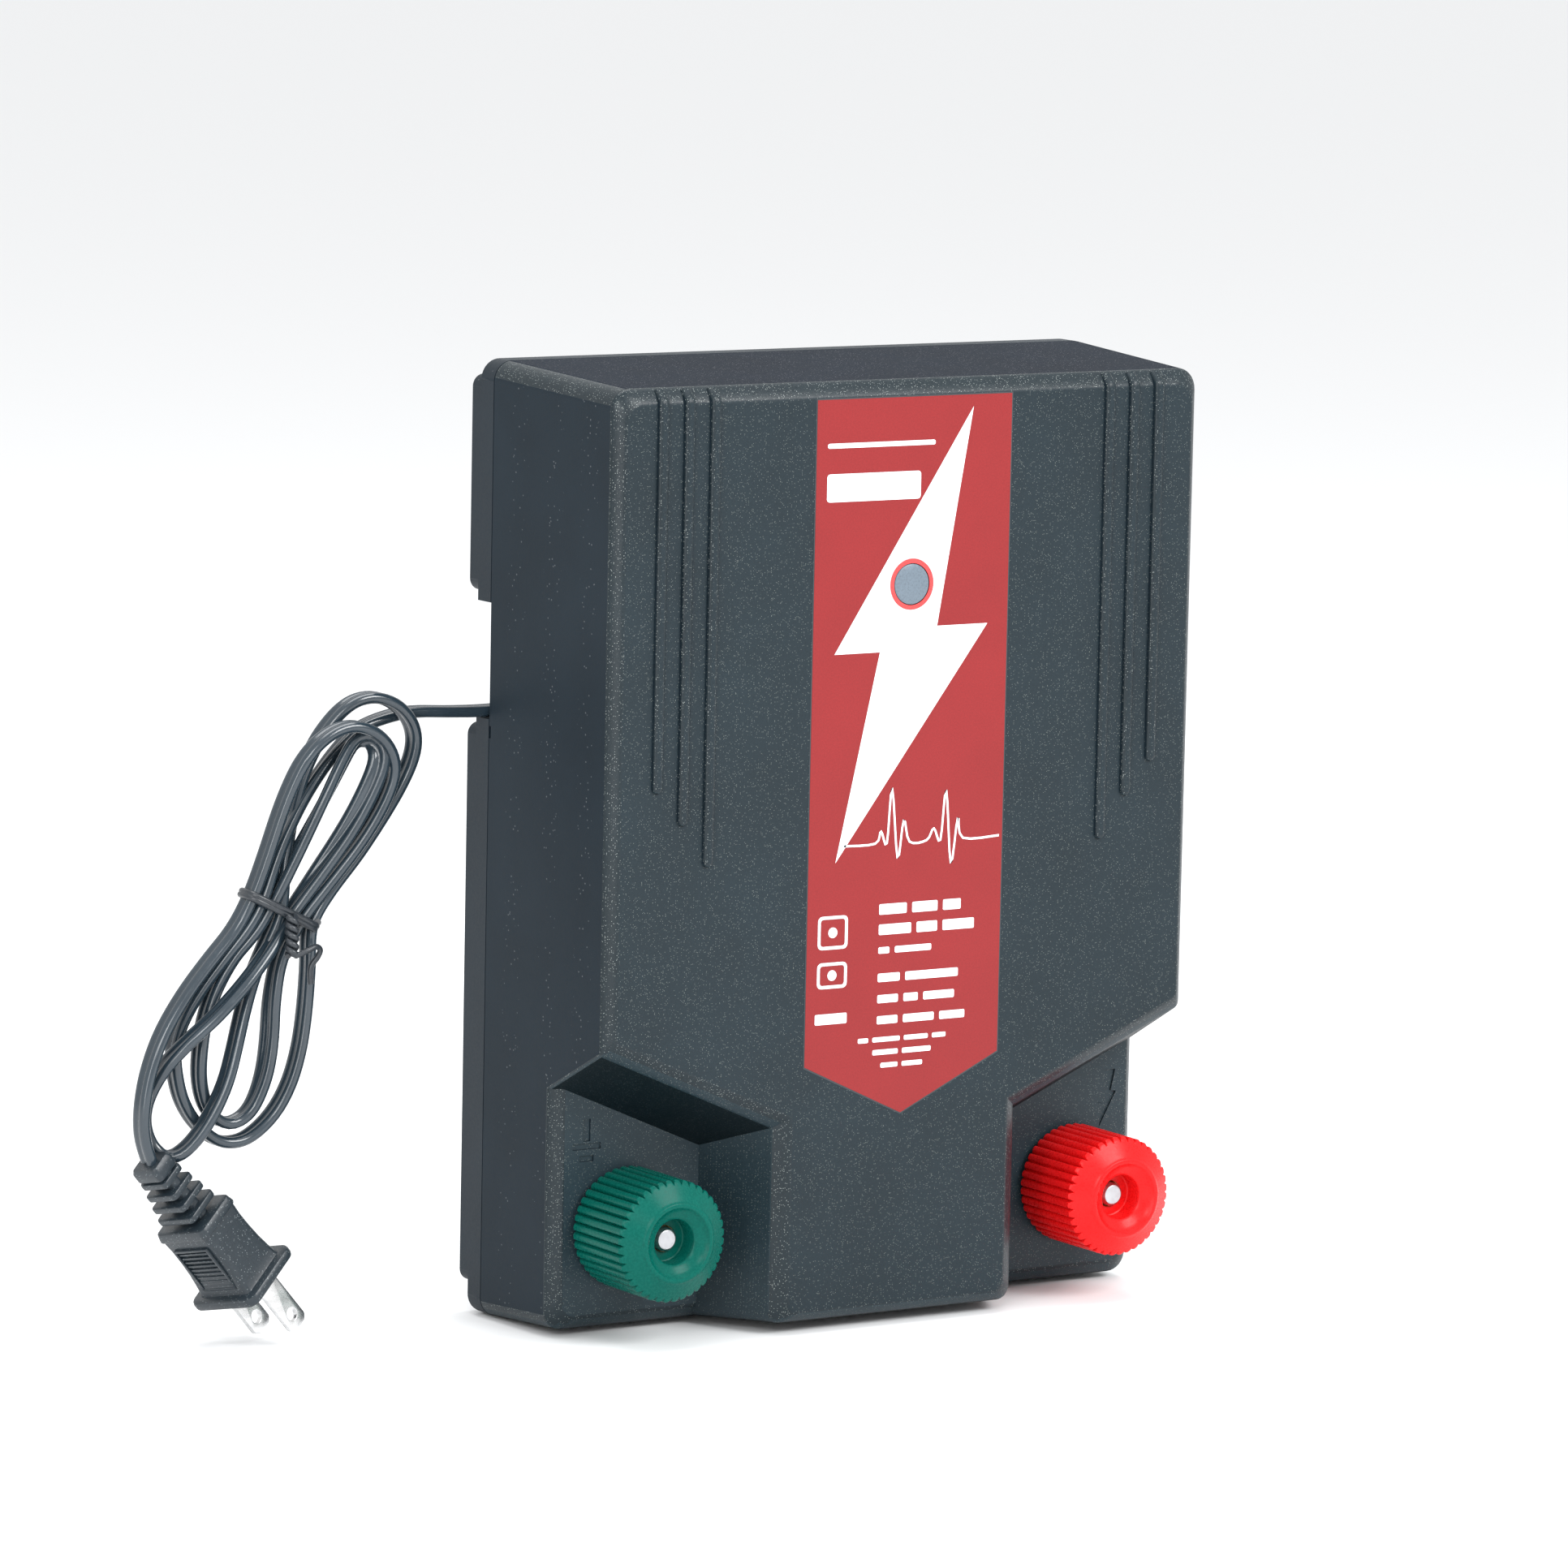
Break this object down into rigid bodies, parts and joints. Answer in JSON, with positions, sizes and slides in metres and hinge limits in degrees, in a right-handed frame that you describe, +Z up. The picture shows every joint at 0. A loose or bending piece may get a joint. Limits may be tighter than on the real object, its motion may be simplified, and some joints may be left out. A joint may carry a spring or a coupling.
{
  "type": "fence energizer",
  "caption": "Mains fence energizer: tall drafted case with a stepped foot, threaded earth and fence terminal knobs, and a hanked flat mains lead with a plug.",
  "frame": {"origin": "bottom centre of the case, on the surface it stands on, midway between the front of the knobs and the back pads; the mains lead is left out of the box", "axes": "+Z up, front with the label and knobs towards -Y, wall side towards +Y, +X to the right seen from the front"},
  "size_m": [0.2713, 0.067, 0.235],
  "materials": {
    "housing": "spark-eroded slate grey moulding with fine glitter",
    "cover": "satin slate grey moulding",
    "label": "satin red printed panel",
    "lens": "grey translucent window",
    "led": "clear epoxy",
    "steel": "zinc plated steel",
    "knob_green": "glossy green moulding",
    "knob_red": "glossy red moulding",
    "brass": "turned brass",
    "wire": "silicone wire sleeve",
    "board": "green solder resist",
    "capacitor": "blue shrink sleeve",
    "capacitor_black": "black shrink sleeve",
    "core": "laminated steel, varnished",
    "winding": "varnished tape over copper",
    "chip": "black epoxy package",
    "aluminium": "extruded aluminium",
    "fuse_glass": "clear glass tube",
    "varistor": "blue epoxy coating",
    "cord": "soft slate grey cord jacket",
    "cord_moulding": "soft slate grey overmoulding",
    "tie": "black coated wire",
    "blade": "brass blade"
  },
  "bodies": {
    "case": {"front_housing": "housing", "back_cover": "cover", "label_panel": "label", "indicator_lens": "lens", "indicator_led": "led", "earth_stud": "steel", "fence_stud": "steel", "ring_terminals": "steel", "output_leads": "wire", "circuit_board": "board", "board_screws": "steel", "cover_screws": "steel", "storage_capacitor": "capacitor", "doubler_capacitors": "capacitor_black", "transformer_core": "core", "transformer_winding": "winding", "thyristor": "chip", "heat_sink": "aluminium", "fuse": "fuse_glass", "fuse_clips": "brass", "varistor": "varistor", "mains_lead_inner": "cord", "cord_gland": "cord_moulding", "cord_lead": "cord", "cord_hank": "cord", "cord_tie": "tie", "cord_tail": "cord", "plug_strain_relief": "cord_moulding", "plug_body": "cord_moulding", "plug_blades": "blade"},
    "earth_slider": {"earth_washer": "steel"},
    "earth_turn": {"earth_knob": "knob_green", "earth_knob_insert": "brass"},
    "fence_slider": {"fence_washer": "steel"},
    "fence_turn": {"fence_knob": "knob_red", "fence_knob_insert": "brass"}
  },
  "joints": [
    {"name": "earth_travel", "type": "slide", "parent": "case", "child": "earth_slider", "axis": [0, -1, 0], "range_m": [0, 0.0061]},
    {"name": "earth_unscrew", "type": "hinge", "parent": "earth_slider", "child": "earth_turn", "pos_m": [-0.0653, -0.02, 0.0264], "axis": [0, -1, 0], "range_deg": [0, 2160]},
    {"name": "fence_travel", "type": "slide", "parent": "case", "child": "fence_slider", "axis": [0, -1, 0], "range_m": [0, 0.0061]},
    {"name": "fence_unscrew", "type": "hinge", "parent": "fence_slider", "child": "fence_turn", "pos_m": [0.0653, -0.02, 0.0264], "axis": [0, -1, 0], "range_deg": [0, 2160]}
  ],
  "couplings": [
    {"joint": "earth_travel", "follows": "earth_unscrew", "m_per_rad": 0.00015915},
    {"joint": "fence_travel", "follows": "fence_unscrew", "m_per_rad": 0.00015915}
  ]
}
